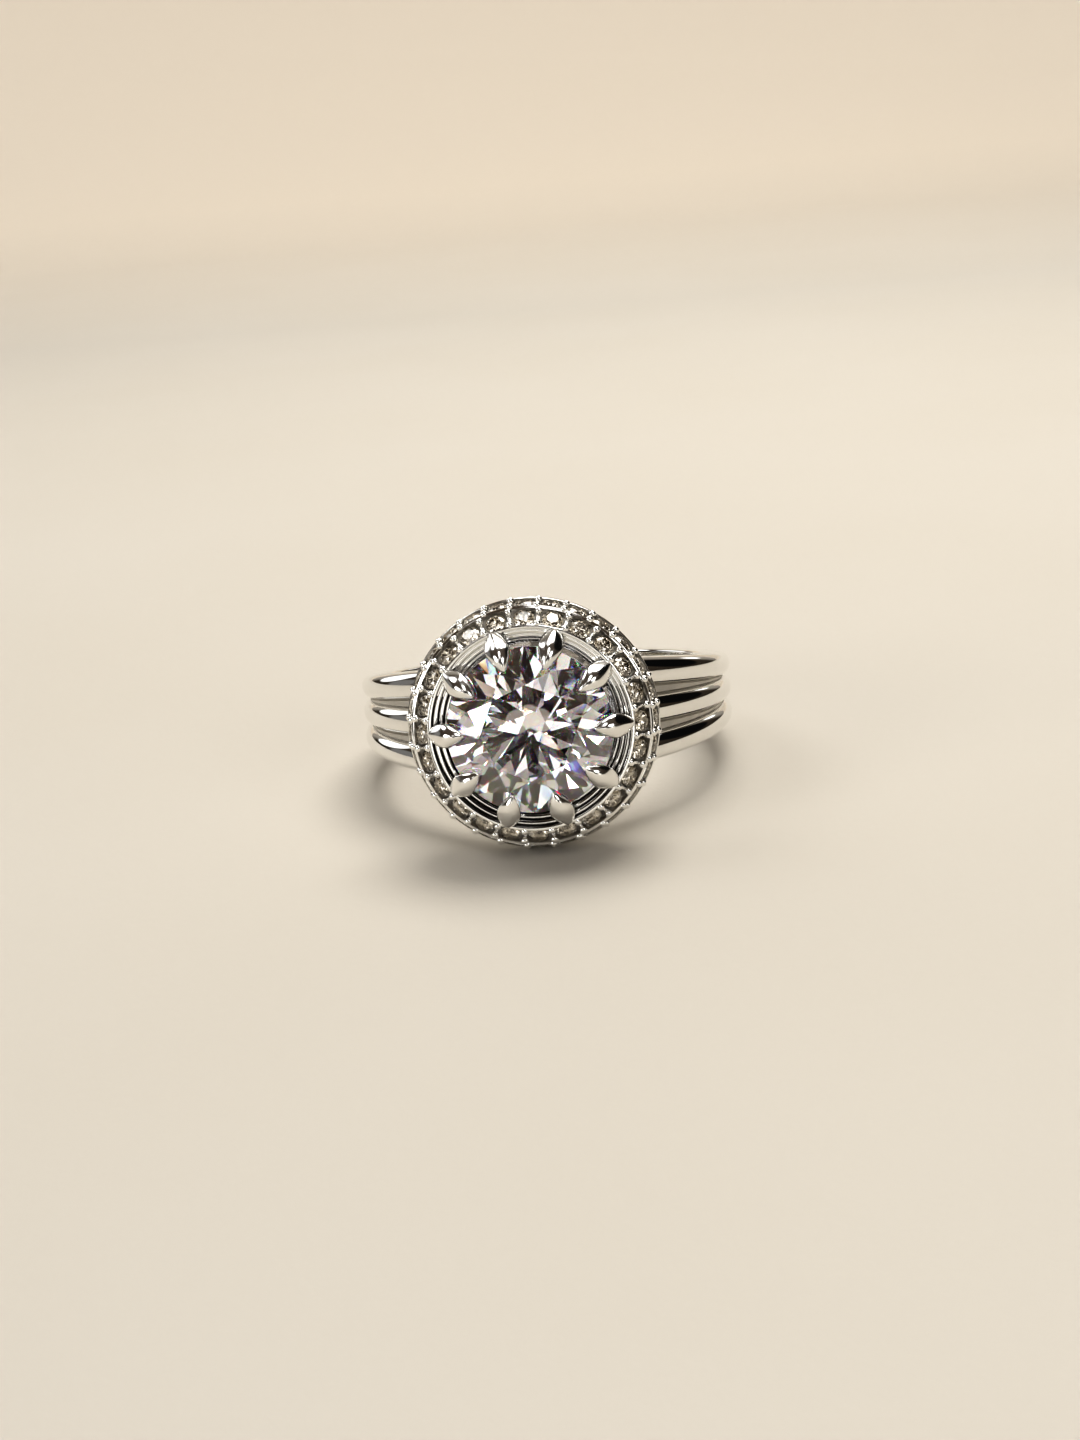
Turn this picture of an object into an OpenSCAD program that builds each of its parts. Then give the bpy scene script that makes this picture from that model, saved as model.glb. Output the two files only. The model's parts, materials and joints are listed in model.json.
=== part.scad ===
// Engagement ring: a round brilliant in ten leaf claws, a halo of two stone rows, a band of three ribs.
// Millimetres. Every module builds the ring standing up: finger hole along Y, head towards +Z,
// origin at the centre of the finger hole. lay_down() then turns it onto its side, as it rests by
// itself: on the foot of the halo in front and on the edge of the band at the back.

/* [Band] */
// Diameter of the finger hole
bore_d = 17.3; // [16:0.1:19]
// Height of the rib crests above the finger hole
band_t = 1.4; // [1.2:0.05:1.8]
// Spacing of the ribs under the head
rib_pitch_head = 2.15; // [1.9:0.05:2.3]
// Spacing of the ribs at the back of the band
rib_pitch_back = 1.05; // [0.9:0.05:1.4]
// Half width of a rib at the back of the band
rib_half_back = 0.56; // [0.5:0.01:0.62]
// Height of the rounded top of a rib
rib_round = 0.55; // [0.4:0.05:0.7]

/* [Centre stone] */
// Diameter of the centre stone
stone_d = 8; // [7.6:0.1:8.1]
// Clearance of the stone's point above the finger hole
culet_clear = 0.5; // [0.4:0.1:1.2]

/* [Claws] */
// Number of claws round the centre stone
claws = 10; // [6:1:12]
// Diameter of the post under a claw
post_d = 0.72; // [0.6:0.02:0.74]

/* [Halo] */
// Radius of the opening that the centre stone sits in
seat_r = 4.8; // [4.75:0.05:4.9]
// Drop of the halo's inner rim below the centre stone's girdle
rim_drop = 0.3; // [0.2:0.05:0.5]
// Width of the polished inner rim
rim_w = 0.17; // [0.14:0.01:0.25]
// Number of stones on the bevel
bevel_stones = 24; // [20:1:24]
// Number of stones on the side
side_stones_n = 28; // [24:1:28]
// Diameter of the small stones
small_d = 1.02; // [0.9:0.01:1.02]
// Radius of a bead between two small stones
bead_r = 0.2; // [0.15:0.01:0.22]

/* [Hidden] */
function two_digits(i) = str(i < 10 ? "0" : "", i);
$fn = 96;

// Colours of the metal and the stones
SILVER = [0.86, 0.86, 0.87];
CLEAR = [0.93, 0.95, 1.0, 0.6];

// Cut of the stones, as shares of the diameter
TABLE = 0.57;
CROWN = 0.145;
GIRDLE = 0.03;
PAVILION = 0.43;
// Radii where the star facets and the lower halves end, as shares of the stone's radius
STAR_END = 0.763;
LOWER_END = 0.23;

// Heights along the head, from the centre of the finger hole
bore_r = bore_d / 2;
girdle_h = bore_r + culet_clear + (PAVILION + GIRDLE / 2) * stone_d;
rim_h = girdle_h - rim_drop;

// Halo section, as points [radius, height] from the inner rim outwards and down
bevel_tilt = 46;
side_tilt = 75;
bevel_w = 1.14;
side_w = 1.08;
mid_rim_w = 0.11;
rim_step = 0.02;
foot_lip = 0.045;
foot_h = 0.2;
function down_slope(p, tilt, w) = p + w * [cos(tilt), -sin(tilt)];
bevel_top = [seat_r + rim_w, rim_h];
bevel_end = down_slope(bevel_top, bevel_tilt, bevel_w);
side_top = bevel_end + [mid_rim_w, -rim_step];
side_end = down_slope(side_top, side_tilt, side_w);
foot_top = side_end + [foot_lip, -rim_step];
foot_end = foot_top - [0, foot_h];
bevel_mid = (bevel_top + bevel_end) / 2;
side_mid = (side_top + side_end) / 2;

// Grooves for the small stones: half width at the surface, at the shoulder and at the bottom
groove_half = 0.53;
groove_shoulder = 0.17;
groove_bottom_half = 0.14;
groove_depth = 0.66;
groove_over = 0.3;
// Small stones and what holds them, measured from the row's surface. The bars fill the groove
// between two stones and reach a little into its walls.
girdle_sink = 0.13;
bead_offset = 0.41;
bead_sink = 0.05;
bar_w = 0.18;
bar_sink = 0.12;
bar_bite = 0.02;

// Gallery inside the halo: three steps down from the rim, then the hollow under the stone
first_step = 0.04;
step_in = 0.24;
step_down = 0.34;
steps = 3;
hollow_r = 2.75;
hollow_h = 1.1;
light_hole_r = 1.8;

// Bowl under the halo, from its neck on the band to the halo's foot
neck_h = bore_r + 0.1;
neck_r = 2.6;
neck_flare = [0.25, 0.5];
bowl_r = 4.4;
bowl_drop = 0.65;
lip_in = 0.3;
lip_drop = 0.2;

// Band: angle 0 is under the head, 180 at the back
crest_r = bore_r + band_t;
root_r = bore_r - 0.35;
taper_power = 2.3;
rib_spread = 0.17;
web_half_min = 0.04;
groove_turn_max = 75;
band_steps = 72;
rest_turn = 77;
function pitch_at(a) =
    rib_pitch_back + (rib_pitch_head - rib_pitch_back) * pow((1 + cos(a)) / 2, taper_power);
function rib_half(pitch) = rib_half_back + rib_spread * (pitch - rib_pitch_back);
// Turn on a rib's rounded top where the flat web between two ribs begins
function groove_turn(pitch) =
    asin(min(sin(groove_turn_max), (pitch / 2 - web_half_min) / rib_half(pitch)));
// A point on a rib's rounded top, as [across the band, distance from the centre]
function on_rib(rib, turn, pitch) = [
    rib * pitch + rib_half(pitch) * sin(turn),
    crest_r - rib_round * (1 - cos(turn))
];
flank_turns = [90, rest_turn, 52, 26, 0];
function band_section(pitch) =
    let (edge = pitch + rib_half(pitch), third = groove_turn(pitch) / 3)
    concat(
        [[-edge, root_r]],
        [for (t = flank_turns) on_rib(-1, -t, pitch)],
        [for (i = [1 : 3]) on_rib(-1, i * third, pitch)],
        [for (i = [-3 : 3]) on_rib(0, i * third, pitch)],
        [for (i = [3 : -1 : 1]) on_rib(1, -i * third, pitch)],
        [for (i = [len(flank_turns) - 1 : -1 : 0]) on_rib(1, flank_turns[i], pitch)],
        [[edge, root_r]]
    );

// Rest: the halo's foot and the rounded edge at the band's back touch the same flat surface
back_pitch = pitch_at(180);
back_touch = on_rib(1, rest_turn, back_pitch);
rest_tilt = atan((foot_end.x - back_touch.x) / (foot_end.y + back_touch.y));
rest_lift = foot_end.x * cos(rest_tilt) - foot_end.y * sin(rest_tilt);
table_h = girdle_h + (GIRDLE / 2 + CROWN) * stone_d;
front_reach = table_h * cos(rest_tilt) + stone_d * TABLE / 2 * sin(rest_tilt);
back_reach = crest_r * cos(rest_tilt) + back_pitch * sin(rest_tilt);

module lay_down()
    translate([0, (front_reach - back_reach) / 2, rest_lift])
        rotate([90 - rest_tilt, 0, 0])
            children();

// Closed skin round rings of equal length, with flat ends unless the rings close on themselves
function skin_faces(rings, points, closed) = concat(
    [for (i = [0 : rings - (closed ? 1 : 2)], j = [0 : points - 1], side = [0, 1])
        let (a = i * points, b = (i + 1) % rings * points, k = (j + 1) % points)
        side == 0 ? [a + j, a + k, b + k] : [a + j, b + k, b + j]],
    closed ? [] : [
        [for (j = [points - 1 : -1 : 0]) j],
        [for (j = [0 : points - 1]) (rings - 1) * points + j]
    ]
);

module band() {
    outline_n = len(band_section(1));
    points = [
        for (i = [0 : band_steps - 1], p = band_section(pitch_at(i * 360 / band_steps)))
            [p.y * sin(i * 360 / band_steps), p.x, p.y * cos(i * 360 / band_steps)]
    ];
    polyhedron(points, skin_faces(band_steps, outline_n, true), convexity = 8);
}

// Bowl and halo as one turned body, before the seat and the grooves are cut
module head_body()
    rotate_extrude()
        polygon([
            [0, neck_h], [neck_r, neck_h], [neck_r, neck_h] + neck_flare,
            [bowl_r, foot_end.y - bowl_drop], foot_end - [lip_in, lip_drop],
            foot_end, foot_top, side_end, side_top, bevel_end, bevel_top, [0, rim_h]
        ]);

// Stepped gallery, hollow under the stone and light hole through the band
module seat_cut() {
    stair = [
        for (i = [0 : steps], edge = [0, 1])
            [seat_r - i * step_in, rim_h - first_step - (i + edge) * step_down]
    ];
    last_h = stair[len(stair) - 1].y;
    rotate_extrude()
        polygon(concat(
            [[0, girdle_h], [seat_r, girdle_h]],
            stair,
            [[hollow_r, last_h], [light_hole_r, last_h - hollow_h], [light_hole_r, 0], [0, 0]]
        ));
}

// Section of a groove from a height over or under its row's surface, grown all round by bite
module groove_section(top, bite)
    polygon([
        [-groove_half - bite, top], [-groove_half - bite, -groove_shoulder],
        [-groove_bottom_half - bite, -groove_depth - bite],
        [groove_bottom_half + bite, -groove_depth - bite],
        [groove_half + bite, -groove_shoulder], [groove_half + bite, top]
    ]);

// Groove of one row of small stones, at the row's middle [radius, height]
module groove(mid, tilt)
    rotate_extrude()
        translate(mid)
            rotate(-tilt)
                groove_section(groove_over, 0);

// Puts its children on a row's surface, child Z outwards, at an angle round the head
module on_row(mid, tilt, angle)
    rotate([0, 0, angle])
        translate([mid.x, 0, mid.y])
            rotate([0, tilt, 0])
                children();

// One bar and two beads between neighbouring stones, all round a row
module row_beads(mid, tilt, count)
    for (i = [0 : count - 1])
        on_row(mid, tilt, (i + 0.5) * 360 / count) {
            rotate([90, 0, 0])
                linear_extrude(bar_w, center = true)
                    groove_section(-bar_sink, bar_bite);
            for (side = [-1, 1])
                translate([side * bead_offset, 0, -bead_sink])
                    sphere(bead_r, $fn = 24);
        }

// Sections of a claw from its tip to the rim, as [out, half, under, top]: distance out from the
// stone's edge, half width, and heights of the underside and the top above the stone's girdle.
CLAW = [
    [-0.86, 0.05, 0.90, 0.98],
    [-0.62, 0.27, 0.71, 1.01],
    [-0.34, 0.46, 0.49, 1.01],
    [-0.06, 0.58, 0.28, 0.92],
    [0.12, 0.62, 0.20, 0.80],
    [0.30, 0.62, -0.15, 0.66],
    [0.52, 0.54, -0.35, 0.42],
    [0.78, 0.34, -0.42, 0.12],
    [0.9, 0.12, -0.34, -0.14]
];
// Outline of a claw's section, as [share of the half width, share of the height]
CLAW_OUTLINE = [
    [-1, 0.35], [-0.72, 0.8], [0, 1], [0.72, 0.8], [1, 0.35], [0.7, 0], [-0.7, 0]
];
function claw_ring(out, half, under, top) =
    [for (o = CLAW_OUTLINE) [stone_d / 2 + out, o.x * half, under + o.y * (top - under)]];

// One claw with the post that carries it down the gallery wall
post_in = 0.35;
post_drop = 1;
post_rise = 0.3;
module claw() {
    translate([0, 0, girdle_h])
        polyhedron(
            [for (s = CLAW) each claw_ring(s[0], s[1], s[2], s[3])],
            skin_faces(len(CLAW), len(CLAW_OUTLINE), false), convexity = 4
        );
    translate([seat_r - post_in, 0, rim_h - post_drop])
        cylinder(d = post_d, h = post_drop + rim_drop + post_rise);
}

module mounting() {
    color(SILVER)
        lay_down() {
            difference() {
                union() {
                    band();
                    head_body();
                }
                rotate([90, 0, 0])
                    cylinder(r = bore_r, h = 2 * crest_r, center = true, $fn = 180);
                seat_cut();
                groove(bevel_mid, bevel_tilt);
                groove(side_mid, side_tilt);
            }
            for (i = [0 : claws - 1])
                rotate([0, 0, i * 360 / claws])
                    claw();
            row_beads(bevel_mid, bevel_tilt, bevel_stones);
            row_beads(side_mid, side_tilt, side_stones_n);
        }
}

// Round brilliant with 57 facets, girdle at height 0: table, stars, kites, halves, mains
function ring_at(r, h, n, turn) =
    [for (i = [0 : n - 1]) let (a = turn + i * 360 / n) [r * cos(a), r * sin(a), h]];
function brilliant_points(d, girdle_r) =
    let (
        r = d / 2,
        top = GIRDLE / 2 * d,
        crown_slope = CROWN * d / (girdle_r - TABLE * r),
        lower_slope = PAVILION * d / girdle_r,
        star_h = top + crown_slope * (girdle_r - STAR_END * r * cos(22.5)),
        lower_h = -top - lower_slope * (girdle_r - LOWER_END * r * cos(22.5))
    )
    concat(
        ring_at(TABLE * r, top + CROWN * d, 8, 0),
        ring_at(STAR_END * r, star_h, 8, 22.5),
        ring_at(girdle_r, top, 16, 0),
        ring_at(girdle_r, -top, 16, 0),
        ring_at(LOWER_END * r, lower_h, 8, 22.5),
        [[0, 0, -top - PAVILION * d]]
    );
// Where each ring of points starts: table, star, girdle top, girdle foot, lower, culet
T0 = 0;
S0 = 8;
U0 = 16;
F0 = 32;
L0 = 48;
CULET = 56;
function brilliant_faces() = concat(
    [[for (i = [7 : -1 : 0]) T0 + i]],
    [for (i = [0 : 7]) let (next = (i + 1) % 8) [T0 + i, T0 + next, S0 + i]],
    [for (i = [0 : 7]) let (back = (i + 7) % 8) [T0 + i, S0 + i, U0 + 2 * i, S0 + back]],
    [for (i = [0 : 7]) [S0 + i, U0 + 2 * i + 1, U0 + 2 * i]],
    [for (i = [0 : 7]) [S0 + i, U0 + (2 * i + 2) % 16, U0 + 2 * i + 1]],
    [for (i = [0 : 15]) let (next = (i + 1) % 16) [U0 + i, U0 + next, F0 + next, F0 + i]],
    [for (i = [0 : 7]) [L0 + i, F0 + 2 * i, F0 + 2 * i + 1]],
    [for (i = [0 : 7]) [L0 + i, F0 + 2 * i + 1, F0 + (2 * i + 2) % 16]],
    [for (i = [0 : 7]) let (back = (i + 7) % 8) [F0 + 2 * i, L0 + i, CULET, L0 + back]]
);

module centre_stone() {
    color(CLEAR)
        lay_down()
            translate([0, 0, girdle_h])
                intersection() {
                    polyhedron(brilliant_points(stone_d, stone_d / 2 / cos(11.25)), brilliant_faces());
                    cylinder(d = stone_d, h = 2 * stone_d, center = true, $fn = 128);
                }
}

module small_stone(mid, tilt, angle)
    on_row(mid, tilt, angle)
        translate([0, 0, -girdle_sink])
            polyhedron(brilliant_points(small_d, small_d / 2), brilliant_faces());

module halo_stone(i) {
    color(CLEAR)
        lay_down()
            small_stone(bevel_mid, bevel_tilt, (i - 1) * 360 / bevel_stones);
}

module side_stones() {
    color(CLEAR)
        lay_down()
            for (i = [0 : side_stones_n - 1])
                small_stone(side_mid, side_tilt, i * 360 / side_stones_n);
}

mounting();
centre_stone();
side_stones();
for (i = [1 : bevel_stones])
    halo_stone(i);
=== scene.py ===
import json
import math

import bmesh
import bpy
from mathutils import Matrix, Vector


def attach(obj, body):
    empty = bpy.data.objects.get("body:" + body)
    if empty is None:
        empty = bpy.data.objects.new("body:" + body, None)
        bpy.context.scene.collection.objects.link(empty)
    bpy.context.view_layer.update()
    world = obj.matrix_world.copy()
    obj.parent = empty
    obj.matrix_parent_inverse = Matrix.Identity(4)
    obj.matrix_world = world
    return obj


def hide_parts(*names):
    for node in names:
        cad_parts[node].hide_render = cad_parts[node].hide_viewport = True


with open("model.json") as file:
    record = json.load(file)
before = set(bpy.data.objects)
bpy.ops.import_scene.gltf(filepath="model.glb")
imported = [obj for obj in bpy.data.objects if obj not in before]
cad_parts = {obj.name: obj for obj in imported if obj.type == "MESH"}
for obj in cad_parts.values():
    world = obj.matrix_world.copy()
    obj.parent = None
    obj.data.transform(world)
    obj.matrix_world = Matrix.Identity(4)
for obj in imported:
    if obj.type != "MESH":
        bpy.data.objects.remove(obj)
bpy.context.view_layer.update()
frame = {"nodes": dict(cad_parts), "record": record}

# Band: a 925 silver casting of three rounded ribs round a 17.3 mm finger hole, with a flat web and a fine
# gutter along each rib between them. The ribs spread towards the head. They are polished on a wheel that
# doesn't reach the webs, and the whole is plated with rhodium.
finger_r, crest_r, rib_round = 8.65, 10.05, 0.55
# Spacing of the ribs at the back and under the head, and how late on its way to the head it grows
back_pitch, head_pitch, taper_power = 1.05, 2.15, 2.3
# Half width of a rib at the back, and the share of the spacing's growth that it gains
back_half, half_spread = 0.56, 0.17
# The web starts where a rib's top has turned this far, or earlier, so that it keeps this half width
web_turn_max, web_half_min = math.radians(75), 0.04
# Width of a gutter, its widest share of the web, and how far its bottom leans and drops per width
gutter_w, gutter_share, gutter_lean, gutter_drop = 0.1, 0.3, 0.3, 1.5
# How far out the outer rib's flank ends, and the rounding of the finger hole's edge
flank_foot, edge_round = 9.2, 0.18
rib_points, flank_steps, band_steps = 9, 12, 192
# Before the ring tips, the halo's foot lies this much lower than the band's back edge and this far ahead
foot_lower, foot_ahead = 4.6008, 19.9307
rest_tilt = math.atan(foot_lower / foot_ahead)
finger_hole = frame["record"]["mounts"][0]
metres = 0.001
# The pieces are built in millimetres on the upright ring, with the middle of its finger hole at the origin,
# the hole along Y and the head towards +Z. This lays them on their side, in metres.
laid_down = (
    Matrix.Translation(finger_hole["pos_m"])
    @ Matrix.Rotation(math.pi / 2 - rest_tilt, 4, "X")
    @ Matrix.Scale(metres, 4)
)


def linear(colour):
    """The linear colour and alpha of an sRGB hex value."""
    shares = [int(colour[i : i + 2], 16) / 255 for i in (1, 3, 5)]
    return [s / 12.92 if s <= 0.04045 else ((s + 0.055) / 1.055) ** 2.4 for s in shares] + [1.0]


def add(tree, kind, settings=None, **inputs):
    """A new node with its settings, and its inputs set or linked. An input's name has _ for a space."""
    node = tree.nodes.new(kind)
    for name, value in (settings or {}).items():
        setattr(node, name, value)
    for name, value in inputs.items():
        by_number = name.startswith("in") and name[2:].isdigit()
        place = int(name[2:]) if by_number else name.replace("_", " ")
        if isinstance(value, bpy.types.NodeSocket):
            tree.links.new(value, node.inputs[place])
        else:
            node.inputs[place].default_value = value
    return node


def rhodium_plate(name, colour, dull, shine, wave_mm, wave_depth_mm):
    """Silver under rhodium: soft waves from the tool, duller patches, and hairlines from wear."""
    haze_mm, haze_low, haze_high, haze_shade = 0.6, 0.35, 0.7, 0.93
    # Real hairlines are about 0.01 mm wide. They are drawn coarser, so that they show as a soft grain.
    hairline_mm, hairline_depth_mm = 0.07, 0.0006
    hairline_turn, hairline_stretch = (0.5, 0.2, 0.9), (1, 0.14, 1)
    material = bpy.data.materials.new(name)
    material.use_nodes = True
    tree = material.node_tree
    tree.nodes.clear()
    place = add(tree, "ShaderNodeTexCoord").outputs["Object"]
    waves = add(tree, "ShaderNodeTexNoise", Vector=place, Scale=1 / (wave_mm * metres), Detail=1.0)
    drawn_out = add(
        tree, "ShaderNodeMapping", Vector=place, Rotation=hairline_turn, Scale=hairline_stretch
    )
    hairlines = add(
        tree,
        "ShaderNodeTexNoise",
        Vector=drawn_out.outputs["Vector"],
        Scale=1 / (hairline_mm * metres),
        Detail=3.0,
        Roughness=0.6,
    )
    haze = add(tree, "ShaderNodeTexNoise", Vector=place, Scale=1 / (haze_mm * metres), Detail=4.0)
    rough = add(
        tree,
        "ShaderNodeMapRange",
        Value=haze.outputs["Fac"],
        From_Min=haze_low,
        From_Max=haze_high,
        To_Min=shine,
        To_Max=dull,
    )
    tone = add(
        tree,
        "ShaderNodeMix",
        {"data_type": "RGBA"},
        in0=haze.outputs["Fac"],
        in6=linear(colour),
        in7=[c * haze_shade for c in linear(colour)[:3]] + [1.0],
    )
    waved = add(
        tree, "ShaderNodeBump", Height=waves.outputs["Fac"], Distance=wave_depth_mm * metres, Strength=1.0
    )
    scratched = add(
        tree,
        "ShaderNodeBump",
        Height=hairlines.outputs["Fac"],
        Distance=hairline_depth_mm * metres,
        Strength=1.0,
        Normal=waved.outputs["Normal"],
    )
    surface = add(
        tree,
        "ShaderNodeBsdfPrincipled",
        Base_Color=tone.outputs[2],
        Metallic=1.0,
        Roughness=rough.outputs["Result"],
        Normal=scratched.outputs["Normal"],
    )
    add(tree, "ShaderNodeOutputMaterial", Surface=surface.outputs["BSDF"])
    return material


def set_in_metal(shape, name, *finishes, crease=28):
    """Lays a finished bmesh down in the ring's place as a silver piece, edges over crease degrees sharp."""
    bmesh.ops.remove_doubles(shape, verts=shape.verts, dist=1e-5)
    bmesh.ops.recalc_face_normals(shape, faces=shape.faces)
    for face in shape.faces:
        face.smooth = True
    for edge in shape.edges:
        edge.smooth = len(edge.link_faces) == 2 and edge.calc_face_angle(0) < math.radians(crease)
    bmesh.ops.transform(shape, matrix=laid_down, verts=shape.verts)
    mesh = bpy.data.meshes.new(name)
    shape.to_mesh(mesh)
    shape.free()
    piece = bpy.data.objects.new(name, mesh)
    bpy.context.collection.objects.link(piece)
    for finish in finishes:
        mesh.materials.append(finish)
    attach(piece, "root")
    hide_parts("mounting")
    return piece


def curve_between(start, corner, end, count):
    """Points of a small fillet from start to end that is tangent at both to the lines through corner."""
    return [
        start * (1 - s) ** 2 + corner * (2 * s * (1 - s)) + end * s**2
        for s in [i / count for i in range(count + 1)]
    ]


def pitch_at(upward):
    """The ribs' spacing where the way out from the finger hole has this cosine to the head's axis."""
    share = (1 + upward) / 2
    return back_pitch + (head_pitch - back_pitch) * share**taper_power


def rib_half(pitch):
    """Half the width of a rib where the ribs are a pitch apart."""
    return back_half + half_spread * (pitch - back_pitch)


def on_rib(pitch, rib, turn):
    """The point (across, out) at a turn on the rounded top of the centre rib 0 or the outer rib 1."""
    across = rib * pitch + rib_half(pitch) * math.sin(turn)
    return Vector((across, crest_r - rib_round * (1 - math.cos(turn))))


def web_turn(pitch):
    """The turn on a rib's rounded top where the web between two ribs begins."""
    return math.asin(min(math.sin(web_turn_max), (pitch / 2 - web_half_min) / rib_half(pitch)))


def half_section(pitch):
    """The band's section from the middle of the centre rib out to the bore, as (across, out) points."""
    web = web_turn(pitch)
    inner, outer = on_rib(pitch, 0, web), on_rib(pitch, 1, -web)
    gutter = min(gutter_w, gutter_share * (outer.x - inner.x))
    edge = on_rib(pitch, 1, math.pi / 2).x
    shares = [i / rib_points for i in range(rib_points)]
    inner_gutter = curve_between(
        inner,
        inner + gutter * Vector((gutter_lean, -gutter_drop)),
        inner + gutter * Vector((1, 0)),
        count=4,
    )
    outer_gutter = curve_between(
        outer - gutter * Vector((1, 0)),
        outer - gutter * Vector((gutter_lean, gutter_drop)),
        outer,
        count=4,
    )
    bore_edge = curve_between(
        Vector((edge, finger_r + edge_round)),
        Vector((edge, finger_r)),
        Vector((edge - edge_round, finger_r)),
        count=5,
    )
    return (
        [on_rib(pitch, 0, s * web) for s in shares]
        + inner_gutter
        + outer_gutter
        + [on_rib(pitch, 1, -s * web) for s in reversed(shares)]
        + [on_rib(pitch, 1, math.radians(90 / flank_steps * i)) for i in range(1, flank_steps + 1)]
        + [Vector((edge, flank_foot))]
        + bore_edge
        + [Vector((edge * s, finger_r)) for s in (0.66, 0.33, 0)]
    )


def turned(section, steps, closed):
    """A bmesh that is turned round the head's axis from a section of (out, up) points."""
    shape = bmesh.new()
    corners = [shape.verts.new((out, 0, up)) for out, up in section]
    following = corners[1:] + corners[:1] if closed else corners[1:]
    for a, b in zip(corners, following):
        shape.edges.new((a, b))
    bmesh.ops.spin(
        shape,
        geom=shape.verts[:] + shape.edges[:],
        cent=(0, 0, 0),
        axis=(0, 0, 1),
        angle=2 * math.pi,
        steps=steps,
        use_merge=True,
    )
    bmesh.ops.remove_doubles(shape, verts=shape.verts, dist=1e-5)
    bmesh.ops.recalc_face_normals(shape, faces=shape.faces)
    return shape


def cut_away(shape, cutter):
    """The bmesh with the cutter's closed shape taken out of it. Both are freed."""
    pair = []
    for solid in (shape, cutter):
        mesh = bpy.data.meshes.new("cutting")
        solid.to_mesh(mesh)
        solid.free()
        pair.append(bpy.data.objects.new("cutting", mesh))
        bpy.context.collection.objects.link(pair[-1])
    cut = pair[0].modifiers.new("cut", "BOOLEAN")
    cut.operation, cut.solver, cut.object = "DIFFERENCE", "EXACT", pair[1]
    left = bmesh.new()
    left.from_mesh(pair[0].evaluated_get(bpy.context.evaluated_depsgraph_get()).to_mesh())
    for solid in pair:
        mesh = solid.data
        bpy.data.objects.remove(solid)
        bpy.data.meshes.remove(mesh)
    return left


band_mesh = bmesh.new()
along_section = band_mesh.verts.layers.int.new("along_section")
right_side = [band_mesh.verts.new((0, p.x, p.y)) for p in half_section(head_pitch)]
for i, vert in enumerate(right_side):
    vert[along_section] = i
for a, b in zip(right_side, right_side[1:]):
    band_mesh.edges.new((a, b))
bmesh.ops.spin(
    band_mesh,
    geom=band_mesh.verts[:] + band_mesh.edges[:],
    cent=(0, 0, 0),
    axis=(0, 1, 0),
    angle=2 * math.pi,
    steps=band_steps,
    use_merge=True,
)
# The spin has one section all round: each station's points now go where the ribs' spacing there has them
sections = {}
for vert in band_mesh.verts:
    turn = math.atan2(vert.co.x, vert.co.z)
    station = round(turn / (2 * math.pi) * band_steps) % band_steps
    if station not in sections:
        sections[station] = half_section(pitch_at(math.cos(station * 2 * math.pi / band_steps)))
    across, out = sections[station][vert[along_section]]
    vert.co = (out * math.sin(turn), across, out * math.cos(turn))
bmesh.ops.mirror(
    band_mesh,
    geom=band_mesh.verts[:] + band_mesh.edges[:] + band_mesh.faces[:],
    matrix=Matrix.Identity(4),
    axis="Y",
    merge_dist=1e-4,
)
bmesh.ops.recalc_face_normals(band_mesh, faces=band_mesh.faces)
# The light hole goes from the finger hole up to the hollow under the centre stone, as (out, up)
light_hole_r, hollow_floor = 1.8, 9.91
drill_foot, drill_lap, drill_r, drill_top = 8, 0.03, 2.8, 11.04
drill_section = [
    (0, drill_foot),
    (light_hole_r, drill_foot),
    (light_hole_r, hollow_floor - drill_lap),
    (drill_r, drill_top),
    (0, drill_top),
]
band_mesh = cut_away(band_mesh, turned(drill_section, steps=64, closed=False))
# Faces in the webs between the ribs get the web's material, whose grey is painted shade
for face in band_mesh.faces:
    middle = face.calc_center_median()
    out = math.hypot(middle.x, middle.z)
    pitch = pitch_at(middle.z / out)
    inner, outer = on_rib(pitch, 0, web_turn(pitch)), on_rib(pitch, 1, -web_turn(pitch))
    in_web = inner.x < abs(middle.y) < outer.x and out > inner.y - 2 * gutter_w
    face.material_index = int(in_web)
# The wheel leaves the ribs like a mirror with a slight swell, so they draw the room as clean long stripes.
polished_rhodium = rhodium_plate("polished_rhodium_plate", "#F3F2EF", 0.09, 0.035, 2.2, 0.009)
# The webs are as they left the mould and the pickle: dull enough to blur what they mirror. Their grey is
# painted shade in the recesses between the ribs.
web_rhodium = rhodium_plate("unpolished_rhodium_web", "#C6C3BD", 0.48, 0.32, 0.8, 0.012)
set_in_metal(band_mesh, "band", polished_rhodium, web_rhodium)

# Head: the bowl and the halo, turned as one blank and soldered on the band. Its bevel and its side have a
# groove each for the small stones between polished rims, and inside it steps down in three stairs to the
# hollow under the centre stone, which is open to the finger through a light hole.
rim_h, seat_r, rim_r = 12.41, 4.8, 4.97
# A row of small stones: the middle of its slope as (out, up), the slope, and the number of stones
bevel_row = Vector((5.366, 12.0)), math.radians(46), 24
side_row = Vector((6.012, 11.048)), math.radians(75), 28
# A groove's half widths at the top and at its floor, the height of its upright wall, and its depth
groove_half, groove_floor_half, groove_wall, groove_depth = 0.53, 0.14, 0.17, 0.66
stair_r, stair_foot, tread_w, riser_h, stair_count = 4.08, 11.01, 0.24, 0.34, 3
# Painted shade covers this much of a tread beside its riser, up to this height over the head's axis
film_w, film_top = 0.07, 1.8
# How much narrower than the drilled hole the head's wall is, and the width that rounds the rims' edges
lining, rim_round = 0.02, 0.022
# What counts as close, as an upright face and as a sharp edge when faces and edges are told apart
near, upright_z, sharp_turn = 0.01, 0.3, 0.3


def row_point(row, along, depth):
    """A point of a stone row's section: along the slope from its middle, and depth under its surface."""
    middle, tilt, _ = row
    down_slope = Vector((math.cos(tilt), -math.sin(tilt)))
    inwards = Vector((math.sin(tilt), math.cos(tilt)))
    return middle + down_slope * along - inwards * depth


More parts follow.
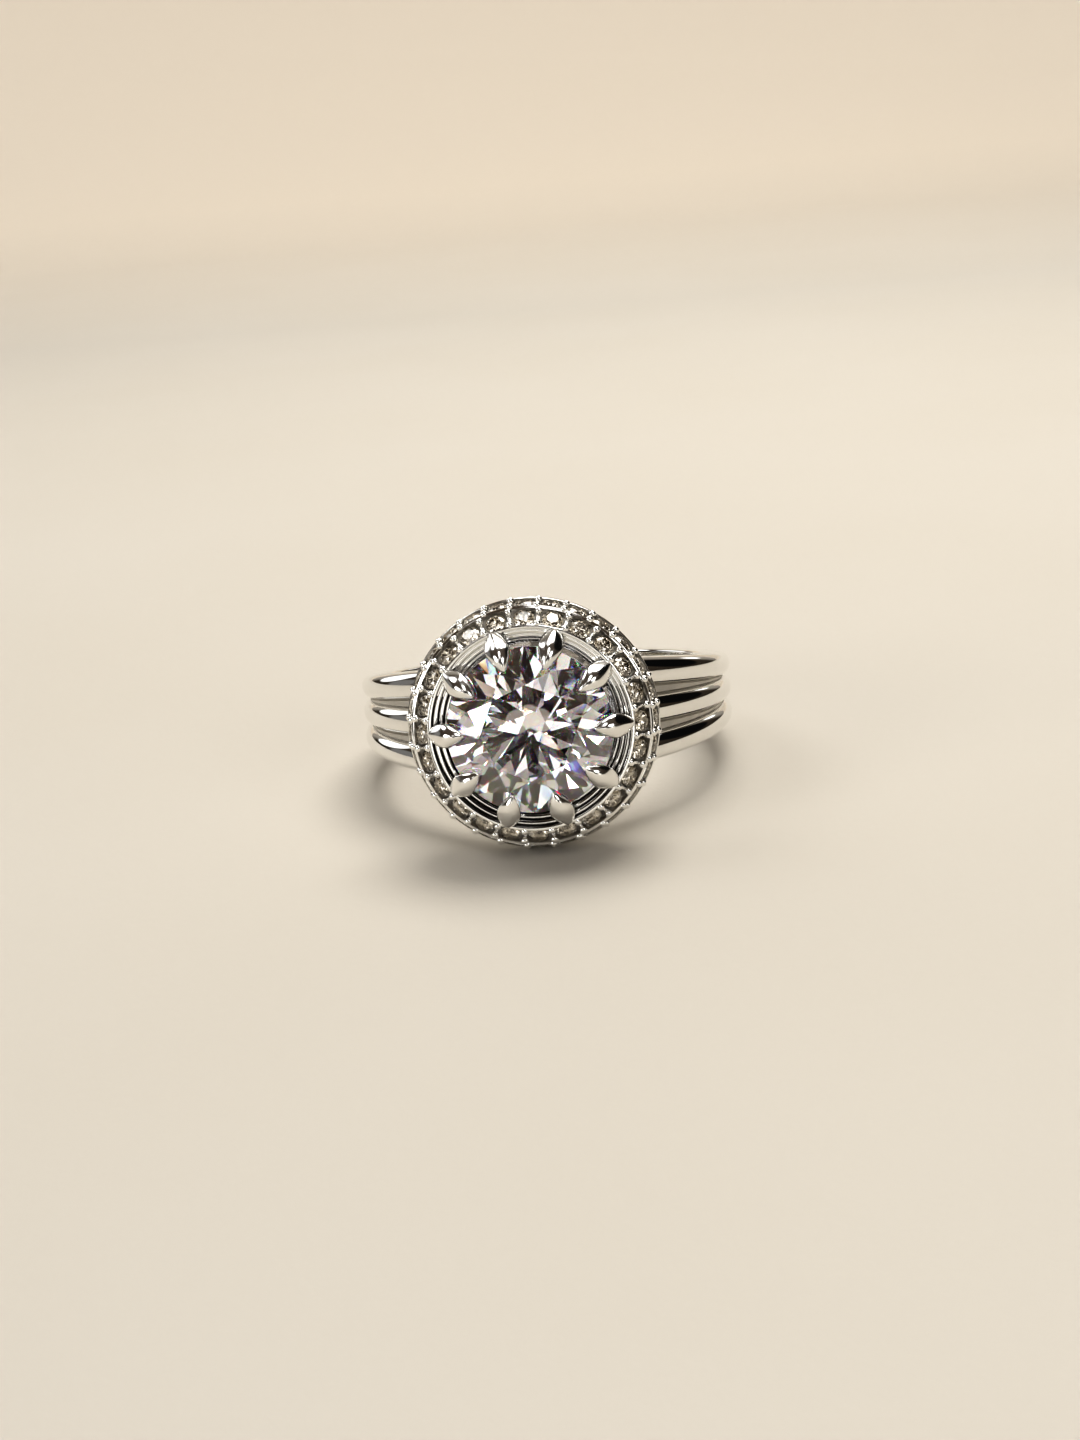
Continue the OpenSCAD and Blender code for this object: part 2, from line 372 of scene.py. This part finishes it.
def groove_section(row):
    """The groove that a row of small stones sits in."""
    left = [(-groove_half, 0), (-groove_half, groove_wall), (-groove_floor_half, groove_depth)]
    right = [(-along, depth) for along, depth in reversed(left)]
    return [row_point(row, along, depth) for along, depth in left + right]


stairs = []
for step in range(stair_count):
    out, up = stair_r + step * tread_w, stair_foot + step * riser_h
    stairs += [(out, up), (out, up + riser_h), (out + tread_w - film_w, up + riser_h)]
hole_r = light_hole_r - lining
hollow = [(1.9, 9.0), (hole_r, 9.3), (hole_r, hollow_floor), (2.75, stair_foot)]
inner_rim = [(seat_r, stair_foot + stair_count * riser_h), (seat_r, rim_h), (rim_r, rim_h)]
middle_rim = [(5.762, 11.59), (5.872, 11.57)]
foot_rim = [(6.1514, 10.527), (6.1964, 10.507), (6.1964, 10.307), (5.8964, 10.107)]
bowl = [(4.4, 9.657), (2.85, 9.25), (2.6, 8.75)]
head_section = (
    hollow
    + stairs
    + inner_rim
    + groove_section(bevel_row)
    + middle_rim
    + groove_section(side_row)
    + foot_rim
    + bowl
)
head_mesh = turned(head_section, steps=160, closed=True)
head_mesh.normal_update()
for face in head_mesh.faces:
    spot = face.calc_center_median()
    out = math.hypot(spot.x, spot.y)
    # The grooves under the small stones get the seat's material, whose darker grey is painted shade
    for middle, tilt, _ in (bevel_row, side_row):
        off = Vector((out, spot.z)) - middle
        along = off.x * math.cos(tilt) - off.y * math.sin(tilt)
        depth = -off.x * math.sin(tilt) - off.y * math.cos(tilt)
        if out > rim_r and abs(along) < groove_half + near and near < depth < groove_depth + near:
            face.material_index = 1
    # Risers, and tread corners low on the head, get the near black painted shade
    in_stairs = stair_r - near < out < seat_r + near and stair_foot < spot.z < rim_h - near
    on_riser = abs(face.normal.z) < upright_z
    in_corner = spot.y < film_top and (stair_r - out) % tread_w < film_w
    if in_stairs and (on_riser or in_corner):
        face.material_index = 2
# Every corner of the section is an edge that runs round the head, and is rounded a little
rings = [
    edge
    for edge in head_mesh.edges
    if abs(edge.verts[0].co.z - edge.verts[1].co.z) < 1e-5 and edge.calc_face_angle(0) > sharp_turn
]
bmesh.ops.bevel(
    head_mesh,
    geom=rings,
    offset=rim_round,
    offset_type="OFFSET",
    segments=2,
    profile=0.5,
    affect="EDGES",
    clamp_overlap=False,
    material=-1,
)
# The rims are buffed over the marks of the lathe: bright rings, a touch softer than the ribs.
turned_rhodium = rhodium_plate("turned_rhodium_plate", "#F1F0EC", 0.11, 0.05, 1.4, 0.006)
# The seats are cut with a burr after plating, so they are rough. Their darker grey is painted shade in the
# grooves under the small stones.
seat_silver = rhodium_plate("burred_silver_seat", "#A8A49E", 0.45, 0.25, 0.3, 0.01)
# The stairs' risers, and the corners of the treads beside them low on the head, are painted near black:
# painted shade that draws them as thin dark lines between the bright treads.
riser_silver = rhodium_plate("filmed_silver_riser", "#3A3632", 0.4, 0.25, 0.5, 0.006)
set_in_metal(head_mesh, "head", turned_rhodium, seat_silver, riser_silver)

# Claws: ten leaves cast with the gallery and bent over the centre stone, which they hold at its girdle.
# Each is a ridged leaf with its point on the crown, a narrow stem at the halo's rim, and a round post down
# the stairs. The setter files and polishes them last.
stone_r, girdle_h = 4.0, 12.71
claw_count = 10
# From the point to the rim, as (out, half, under, top): distance out from the stone's edge, half width, and
# heights of the underside and of the ridge over the girdle
claw_sections = [
    (-0.92, 0.05, 0.90, 1.00),
    (-0.68, 0.28, 0.74, 1.05),
    (-0.38, 0.49, 0.53, 1.06),
    (-0.08, 0.62, 0.30, 0.97),
    (0.14, 0.66, 0.20, 0.85),
    (0.34, 0.65, -0.15, 0.70),
    (0.56, 0.57, -0.35, 0.46),
    (0.80, 0.36, -0.42, 0.15),
    (0.98, 0.10, -0.34, -0.12),
]
# Half a section's outline as shares of the half width and of the height, from the ridge down to the underside
leaf_flank = [(-0.62, 0.76), (-1.03, 0.34), (-0.7, -0.02)]
leaf_outline = [(0, 1.1), *leaf_flank, (0, -0.02), *[(-side, rise) for side, rise in reversed(leaf_flank)]]


def copied_round(shape, count):
    """Repeats a bmesh round the head's axis until there are count of it."""
    bmesh.ops.spin(
        shape,
        geom=shape.verts[:] + shape.edges[:] + shape.faces[:],
        cent=(0, 0, 0),
        axis=(0, 0, 1),
        angle=2 * math.pi * (count - 1) / count,
        steps=count - 1,
        use_duplicate=True,
    )


claw_mesh = bmesh.new()
loops = []
for out, half, under, top in claw_sections:
    loop = bmesh.ops.create_circle(claw_mesh, segments=len(leaf_outline), radius=1)["verts"]
    for vert, (side, rise) in zip(loop, leaf_outline):
        vert.co = (stone_r + out, side * half, girdle_h + under + rise * (top - under))
    loops.append(list({e for v in loop for e in v.link_edges}))
for a, b in zip(loops, loops[1:]):
    bmesh.ops.bridge_loops(claw_mesh, edges=a + b)
for end in (loops[0], loops[-1]):
    bmesh.ops.contextual_create(claw_mesh, geom=end)
copied_round(claw_mesh, claw_count)
# The last file and a rubber wheel leave them bright but soft, so that they shine whole and mirror little.
filed_rhodium = rhodium_plate("filed_rhodium_plate", "#F5F4F1", 0.2, 0.12, 0.9, 0.006)
claws = set_in_metal(claw_mesh, "claws", filed_rhodium, crease=85)
rounding = claws.modifiers.new("rounding", "SUBSURF")
rounding.levels = rounding.render_levels = 2

post_r, post_taper, post_out, post_foot, post_top = 0.36, 0.9, 4.45, 11.41, 12.75
post_mesh = bmesh.new()
bmesh.ops.create_cone(
    post_mesh,
    cap_ends=True,
    segments=28,
    radius1=post_r,
    radius2=post_r * post_taper,
    depth=post_top - post_foot,
    matrix=Matrix.Translation((post_out, 0, (post_top + post_foot) / 2)),
)
copied_round(post_mesh, claw_count)
set_in_metal(post_mesh, "claw_posts", turned_rhodium)

# Beads and bars: what holds the small stones. The setter leaves a low bar of metal between each two stones
# and raises two beads from it with a graver, pressed round and bright by a cupped tool.
bead_r, bead_offset, bead_sink = 0.2, 0.41, 0.05
# A bar's width, how far its top lies under the slope, how far it reaches into the groove's walls, and the
# rounding of its shoulders
bar_w, bar_sink, bar_root, bar_round = 0.16, 0.13, 0.02, 0.03
bar_half, bar_floor_half = groove_half + bar_root, groove_floor_half + bar_root
bar_section = [
    (-bar_half, bar_sink),
    (-bar_half, groove_wall),
    (-bar_floor_half, groove_depth + bar_root),
    (bar_floor_half, groove_depth + bar_root),
    (bar_half, groove_wall),
    (bar_half, bar_sink),
]


def all_round(shape, row):
    """Puts a bmesh that is built over one spot of a row between each two of its stones."""
    middle, tilt, count = row
    place = (
        Matrix.Rotation(math.pi / count, 4, "Z")
        @ Matrix.Translation((middle.x, 0, middle.y))
        @ Matrix.Rotation(tilt, 4, "Y")
    )
    bmesh.ops.transform(shape, matrix=place, verts=shape.verts)
    copied_round(shape, count)


for name, row in (("bevel", bevel_row), ("side", side_row)):
    bar = bmesh.new()
    outline = [bar.verts.new((along, bar_w / 2, -depth)) for along, depth in bar_section]
    end = bmesh.ops.contextual_create(bar, geom=outline)["faces"]
    run = bmesh.ops.extrude_face_region(bar, geom=end)["geom"]
    far_end = [v for v in run if isinstance(v, bmesh.types.BMVert)]
    bmesh.ops.translate(bar, verts=far_end, vec=(0, -bar_w, 0))
    shoulders = [e for e in bar.edges if all(v.co.z > -bar_sink - near for v in e.verts)]
    bmesh.ops.bevel(
        bar,
        geom=shoulders,
        offset=bar_round,
        segments=2,
        profile=0.5,
        affect="EDGES",
        clamp_overlap=True,
        material=-1,
    )
    all_round(bar, row)
    set_in_metal(bar, name + "_bars", filed_rhodium, crease=45)
    beads = bmesh.new()
    for side in (-1, 1):
        bmesh.ops.create_uvsphere(
            beads,
            u_segments=18,
            v_segments=11,
            radius=bead_r,
            matrix=Matrix.Translation((side * bead_offset, 0, -bead_sink)),
        )
    all_round(beads, row)
    set_in_metal(beads, name + "_beads", filed_rhodium, crease=45)

# Centre stone: an 8 mm round brilliant of grown moissanite, cut with 57 facets and polished, its girdle
# left frosted. It bends light more than diamond does and spreads it into stronger colours.
stone_index, stone_spread, fire_share = 2.65, 0.036, 0.45


def brilliant(name, tint, index, spread, girdle_r):
    """Clear cut stone. A spread splits part of the light that the eye meets first in three, for the stone's
    fire. A girdle radius frosts what lies that far from the head's axis."""
    # Real lap lines are under 0.001 mm apart. They are drawn far coarser, so that they soften what the
    # facets mirror.
    lap_mm, lap_depth_mm = 0.25, 0.00006
    # The frost begins this far inside the girdle, is full this far inside, and is this rough
    frost_in, frost_full, frost = 0.012, 0.004, 0.35
    blue_spread = 1.2
    material = bpy.data.materials.new(name)
    material.use_nodes = True
    tree = material.node_tree
    tree.nodes.clear()
    place = add(tree, "ShaderNodeTexCoord").outputs["Object"]
    lapping = add(tree, "ShaderNodeTexNoise", Vector=place, Scale=1 / (lap_mm * metres), Detail=3.0)
    lines = add(
        tree, "ShaderNodeBump", Height=lapping.outputs["Fac"], Distance=lap_depth_mm * metres, Strength=1.0
    )
    rough = 0.0
    if girdle_r:
        centre = laid_down @ Vector((0, 0, girdle_h))
        axis = (laid_down.to_3x3() @ Vector((0, 0, 1))).normalized()
        from_centre = add(tree, "ShaderNodeVectorMath", {"operation": "SUBTRACT"}, in0=place, in1=centre)
        off_axis = add(
            tree, "ShaderNodeVectorMath", {"operation": "CROSS_PRODUCT"}, in0=from_centre.outputs[0], in1=axis
        )
        radius = add(tree, "ShaderNodeVectorMath", {"operation": "LENGTH"}, in0=off_axis.outputs[0])
        rough = add(
            tree,
            "ShaderNodeMapRange",
            Value=radius.outputs["Value"],
            From_Min=(girdle_r - frost_in) * metres,
            From_Max=(girdle_r - frost_full) * metres,
            To_Min=0.0,
            To_Max=frost,
        ).outputs["Result"]
    rays = [(tint, index)]
    if spread:
        red, green, blue = [[c * (i == k) for i, c in enumerate(tint[:3])] + [1.0] for k in range(3)]
        rays += [(red, index - spread), (green, index), (blue, index + spread * blue_spread)]
    clear = [
        add(
            tree,
            "ShaderNodeBsdfGlass",
            Color=colour,
            IOR=ior,
            Roughness=rough,
            Normal=lines.outputs["Normal"],
        ).outputs["BSDF"]
        for colour, ior in rays
    ]
    surface = clear[0]
    if spread:
        warm = add(tree, "ShaderNodeAddShader", in0=clear[1], in1=clear[2])
        split = add(tree, "ShaderNodeAddShader", in0=warm.outputs[0], in1=clear[3])
        fire = add(tree, "ShaderNodeMixShader", in0=fire_share, in1=surface, in2=split.outputs[0])
        ray = add(tree, "ShaderNodeLightPath")
        surface = add(
            tree, "ShaderNodeMixShader", in0=ray.outputs["Is Camera Ray"], in1=surface, in2=fire.outputs[0]
        ).outputs[0]
    add(tree, "ShaderNodeOutputMaterial", Surface=surface)
    return material


def set_stone(node, stone):
    """Gives a CAD stone, which has its real shape, the material of the cut stone."""
    node.data.materials.clear()
    node.data.materials.append(stone)


# Colourless and very clear: hard white and near black facets side by side, with flecks of pure colour.
moissanite = brilliant("cut_moissanite", linear("#FBFBFC"), stone_index, stone_spread, stone_r)
set_stone(frame["nodes"]["centre_stone"], moissanite)

# Small stones: 24 round brilliants on the halo's bevel and 28 on its side, 1.02 mm across, each held in
# its seat by the beads beside it. They are cut and polished as the centre stone is.
small_index = 2.4
# So small they read darker and greyer than it does, because most of what they send back is their seat. An
# index under moissanite's keeps them so, and their fire and frosted girdles would be too fine to show.
small_moissanite = brilliant("cut_small_stones", linear("#F2F0EC"), small_index, spread=0, girdle_r=0)
for name, node in frame["nodes"].items():
    if name == "side_stones" or name.startswith("halo_stone_"):
        set_stone(node, small_moissanite)

# Floor: a plain cream table top with a matt glaze, and a sheet of the same that curves up behind the ring.
# The sheet is only as wide as the picture, so that the ribs mirror the room on both sides of it.
# Its sizes are in metres. It starts a little under the table top, so that no edge shows there.
table_half, sheet_half, sheet_foot, sheet_sink = 2, 0.3, 0.35, 0.0001
sheet_curve, sheet_bend, sheet_steps, sheet_rise = 0.3, math.radians(50), 24, (0, 0.13, 0.155)
floor_mesh = bmesh.new()
bmesh.ops.create_grid(floor_mesh, x_segments=1, y_segments=1, size=table_half)
foot = [floor_mesh.verts.new((x, sheet_foot, -sheet_sink)) for x in (-sheet_half, sheet_half)]
bmesh.ops.spin(
    floor_mesh,
    geom=[*foot, floor_mesh.edges.new(foot)],
    cent=(0, sheet_foot, sheet_curve),
    axis=(1, 0, 0),
    angle=sheet_bend,
    steps=sheet_steps,
)
top_edge = max(floor_mesh.edges, key=lambda e: min(v.co.z for v in e.verts))
raised = bmesh.ops.extrude_edge_only(floor_mesh, edges=[top_edge])["geom"]
bmesh.ops.translate(
    floor_mesh, verts=[v for v in raised if isinstance(v, bmesh.types.BMVert)], vec=sheet_rise
)
for face in floor_mesh.faces:
    face.smooth = True
floor_data = bpy.data.meshes.new("floor")
floor_mesh.to_mesh(floor_data)
floor_mesh.free()
floor = bpy.data.objects.new("floor", floor_data)
bpy.context.collection.objects.link(floor)
# The glaze is matt: it takes the shadow softly and mirrors nothing. Its pores are drawn at 0.4 mm, several
# times coarser than real ones, so that they show as a faint grain.
cloud_mm, pore_mm, pore_depth_mm = 40, 0.4, 0.02
matt_cream = bpy.data.materials.new("matt_cream_glaze")
matt_cream.use_nodes = True
tree = matt_cream.node_tree
tree.nodes.clear()
place = add(tree, "ShaderNodeTexCoord").outputs["Object"]
clouds = add(tree, "ShaderNodeTexNoise", Vector=place, Scale=1 / (cloud_mm * metres), Detail=2.0)
grain = add(tree, "ShaderNodeTexNoise", Vector=place, Scale=1 / (pore_mm * metres), Detail=2.0)
cream = add(
    tree,
    "ShaderNodeMix",
    {"data_type": "RGBA"},
    in0=clouds.outputs["Fac"],
    in6=linear("#C1BCB3"),
    in7=linear("#BDB7AC"),
)
# It grows paler from the first to the second of these distances behind the ring: painted light that makes up
# for the softbox reaching it less there.
grade_from, grade_to = 0.2, 0.42
far_off = add(
    tree,
    "ShaderNodeMapRange",
    Value=add(tree, "ShaderNodeSeparateXYZ", Vector=place).outputs["Y"],
    From_Min=grade_from,
    From_Max=grade_to,
)
paper = add(
    tree,
    "ShaderNodeMix",
    {"data_type": "RGBA"},
    in0=far_off.outputs["Result"],
    in6=cream.outputs[2],
    in7=linear("#E4D9C8"),
)
pores = add(
    tree, "ShaderNodeBump", Height=grain.outputs["Fac"], Distance=pore_depth_mm * metres, Strength=0.5
)
glaze = add(
    tree,
    "ShaderNodeBsdfPrincipled",
    Base_Color=paper.outputs[2],
    Roughness=0.6,
    Normal=pores.outputs["Normal"],
)
add(tree, "ShaderNodeOutputMaterial", Surface=glaze.outputs["BSDF"])
floor_data.materials.append(matt_cream)

# Light: a dim warm room round a table top, with white windows on both sides, in front and overhead, and one
# softbox that throws the shadow. The polished metal and the stones draw everything that is in this room.
room_low, room_high, room_rise = (0.042, 0.034, 0.026, 1), (0.08, 0.062, 0.048, 1), 0.9
world = bpy.data.worlds.new("studio_dome")
bpy.context.scene.world = world
world.use_nodes = True
tree = world.node_tree
tree.nodes.clear()
way = add(tree, "ShaderNodeTexCoord").outputs["Generated"]
height = add(tree, "ShaderNodeSeparateXYZ", Vector=way).outputs["Z"]
soft_step = {"interpolation_type": "SMOOTHSTEP"}
rise = add(tree, "ShaderNodeMapRange", soft_step, Value=height, From_Min=0.0, From_Max=room_rise)
room = add(
    tree,
    "ShaderNodeMix",
    {"data_type": "RGBA"},
    in0=rise.outputs["Result"],
    in6=room_low,
    in7=room_high,
).outputs[2]


def with_discs(room, *discs):
    """The room's shade with round patches, each full out to its inner angle and gone at its outer one."""
    for aim, inner, outer, colour in discs:
        nearness = add(
            tree, "ShaderNodeVectorMath", {"operation": "DOT_PRODUCT"}, in0=way, in1=Vector(aim).normalized()
        )
        inside = add(
            tree,
            "ShaderNodeMapRange",
            soft_step,
            Value=nearness.outputs["Value"],
            From_Min=math.cos(math.radians(outer)),
            From_Max=math.cos(math.radians(inner)),
        )
        room = add(
            tree,
            "ShaderNodeMix",
            {"data_type": "RGBA"},
            in0=inside.outputs["Result"],
            in6=room,
            in7=(*colour, 1),
        ).outputs[2]
    return room


window, pane = (3.3, 3.3, 3.32), (1.4, 1.37, 1.35)
flag, camera_body = (0.008, 0.008, 0.008), (0.012, 0.009, 0.011)
# Behind the ring, towards +Y: a wide dim wall, a pale screen, two small lamps and a dim wall to the left
room = with_discs(
    room,
    ((0, 0.951, 0.309), 34, 46, (0.31, 0.285, 0.25)),
    ((-0.736, 0.575, 0.358), 13, 16, (1.15, 1.15, 1.15)),
    ((-0.338, 0.928, 0.156), 3, 5, (1.3, 1.3, 1.3)),
    ((0.525, 0.779, 0.342), 4, 6, (1.4, 1.4, 1.38)),
    ((-0.975, 0.172, 0.139), 10, 16, (0.2, 0.195, 0.19)),
)
# Windows to the left, overhead, to the left in front and to the right, then the dark flag to the right that
# draws the black bands on the ribs, and the window to the right in front
room = with_discs(
    room,
    ((-0.6, 0.2, 0.72), 12, 13, window),
    ((-0.07, 0.14, 1), 11, 13, (2.2, 2.22, 2.26)),
    ((-0.8, -0.6, 0.26), 13, 14, (5.2, 5.2, 5.22)),
    ((0.45, 0.3, 0.85), 8, 10, window),
    ((0.841, 0.241, 0.485), 22, 25, flag),
    ((0.6, -0.6, 0.45), 10, 11, (4.0, 4.0, 4.02)),
)
# In front, towards -Y: the dark body of the camera, two dim panes over it and a bright one higher up
room = with_discs(
    room,
    ((0.072, -0.938, 0.36), 9, 10, camera_body),
    ((0.1, -0.75, 0.85), 9, 10, pane),
    ((-0.3, -0.8, 0.5), 6, 7, pane),
    ((0.098, -0.459, 0.883), 8, 9, (4.2, 4.2, 4.22)),
)
# A pale strip low in front, which the flat rims mirror. It ends between two heights, and at both sides
# between two cosines to the way towards -Y.
strip_shade = (1.3, 1.26, 1.19, 1)
strip_gone_up, strip_full_up, strip_gone_aside, strip_full_aside = 0.2, 0.14, 0.5, 0.65
low = add(tree, "ShaderNodeMapRange", soft_step, Value=height, From_Min=strip_gone_up, From_Max=strip_full_up)
front = add(tree, "ShaderNodeVectorMath", {"operation": "DOT_PRODUCT"}, in0=way, in1=(0, -1, 0))
facing = add(
    tree,
    "ShaderNodeMapRange",
    soft_step,
    Value=front.outputs["Value"],
    From_Min=strip_gone_aside,
    From_Max=strip_full_aside,
)
strip = add(
    tree, "ShaderNodeMath", {"operation": "MULTIPLY"}, in0=low.outputs["Result"], in1=facing.outputs["Result"]
)
room = add(
    tree,
    "ShaderNodeMix",
    {"data_type": "RGBA"},
    in0=strip.outputs["Value"],
    in6=room,
    in7=strip_shade,
).outputs[2]
# Dark posts that break the strip. Then what the stone's table mirrors: the camera's front, which keeps the
# facets under the table clear, and a small pale card on it.
post, card = (0.06, 0.05, 0.042), (1.2, 1.06, 0.92)
room = with_discs(
    room,
    ((-0.291, -0.953, 0.087), 6, 7, post),
    ((0.498, -0.863, 0.087), 11, 12, post),
    ((-0.665, -0.739, 0.105), 5, 6, post),
    ((-0.0842, -0.9928, 0.0851), 2.3, 2.7, camera_body),
    ((-0.0903, -0.9916, 0.0924), 0.36, 0.44, card),
    ((-0.0833, -0.992, 0.095), 0.36, 0.44, card),
    ((-0.0764, -0.9928, 0.0924), 0.36, 0.44, card),
)
dome = add(tree, "ShaderNodeBackground", Color=room, Strength=1.0)
add(tree, "ShaderNodeOutputWorld", Surface=dome.outputs["Background"])

# The softbox hangs behind the ring, so that the shadow falls towards the camera
softbox = bpy.data.lights.new("overhead_softbox", "AREA")
softbox.shape, softbox.size, softbox.size_y = "RECTANGLE", 0.22, 0.16
softbox.energy, softbox.color = 0.75, (1.0, 0.97, 0.92)
lamp = bpy.data.objects.new("overhead_softbox", softbox)
bpy.context.collection.objects.link(lamp)
lamp.location = (0.05, 0.12, 0.32)
lit_spot = Vector((0, 0, 0.005))
lamp.rotation_euler = (lit_spot - lamp.location).to_track_quat("-Z", "Y").to_euler()

# Camera: a little above the floor and to the ring's right, as near as a close-up needs. Its angles are taken
# from the head's axis and its distance in millimetres from the finger hole, fitted to the ellipses that the
# girdle, the rims and the band draw in the photograph.
yaw, pitch, roll = math.radians(4.15), math.radians(6.87), math.radians(-4.05)
away, focal_px, frame_h, sensor_mm = 93.56, 1700, 1440, 36
# How far the picture's middle lies from the finger hole, as shares of the distance
aside, above = 0.0042, 0.0138
back = Vector((math.sin(yaw) * math.cos(pitch), math.sin(pitch), math.cos(yaw) * math.cos(pitch)))
level = Vector((math.cos(yaw), 0, -math.sin(yaw)))
upright = back.cross(level)
right = level * math.cos(roll) + upright * math.sin(roll)
up = upright * math.cos(roll) - level * math.sin(roll)
ahead = -(back + right * aside + up * above).normalized()
laid_turn = laid_down.to_3x3().normalized()
ahead, right = laid_turn @ ahead, laid_turn @ right
right = (right - ahead * right.dot(ahead)).normalized()
lens = bpy.data.cameras.new("camera")
lens.sensor_width, lens.lens = sensor_mm, sensor_mm * focal_px / frame_h
lens.clip_start, lens.clip_end = 0.001, 10
camera = bpy.data.objects.new("camera", lens)
bpy.context.collection.objects.link(camera)
axes = Matrix((right, right.cross(ahead), -ahead)).transposed()
camera.matrix_world = Matrix.Translation(laid_down @ (back * away)) @ axes.to_4x4()
scene = bpy.context.scene
scene.camera = camera
scene.view_settings.view_transform = "Standard"
scene.view_settings.look = "High Contrast"
scene.view_settings.exposure = -0.1
# The stones need many bounces, and the clamp keeps their sparks from speckling the floor
scene.cycles.max_bounces = 24
scene.cycles.glossy_bounces = 12
scene.cycles.transmission_bounces = 24
scene.cycles.sample_clamp_indirect = 12
